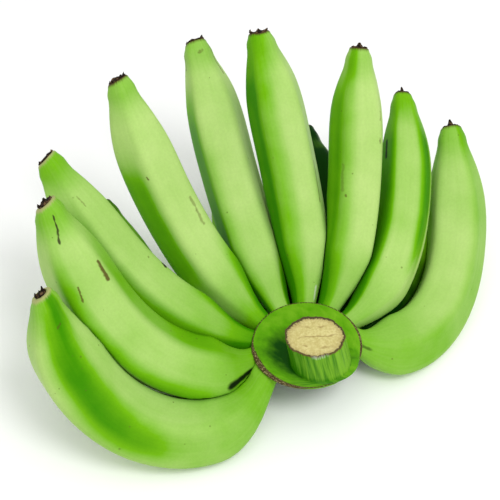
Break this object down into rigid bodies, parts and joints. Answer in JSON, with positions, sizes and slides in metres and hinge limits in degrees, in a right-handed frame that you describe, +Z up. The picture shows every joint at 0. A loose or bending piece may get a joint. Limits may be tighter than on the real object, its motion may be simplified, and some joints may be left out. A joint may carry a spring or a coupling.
{
  "type": "hand of green bananas",
  "caption": "Hand of unripe green bananas fanned round a crown with a short cut length of stalk, lying on its lower row with the cut end up",
  "frame": {"origin": "middle of the underside of the box round the whole hand, on the table", "axes": "+X across the hand, from the front left banana to the front right one; +Y from the open side with no bananas to the fan's back; +Z up, the way the cut stalk points"},
  "size_m": [0.2892, 0.2752, 0.1802],
  "materials": {
    "banana_skin": "waxy, satin green banana peel",
    "shaded_banana_skin": "waxy, satin deep green banana peel",
    "stalk_skin": "fibrous green stalk, satin"
  },
  "bodies": {
    "root": {"stalk": "stalk_skin", "upper_banana_1": "banana_skin", "upper_banana_2": "banana_skin", "upper_banana_3": "banana_skin", "upper_banana_4": "banana_skin", "upper_banana_5": "banana_skin", "upper_banana_6": "banana_skin", "upper_banana_7": "banana_skin", "upper_banana_8": "banana_skin", "upper_banana_9": "banana_skin", "lower_banana_1": "shaded_banana_skin", "lower_banana_2": "shaded_banana_skin", "lower_banana_3": "shaded_banana_skin", "lower_banana_4": "shaded_banana_skin", "lower_banana_5": "shaded_banana_skin", "lower_banana_6": "shaded_banana_skin", "lower_banana_7": "shaded_banana_skin"}
  },
  "joints": []
}
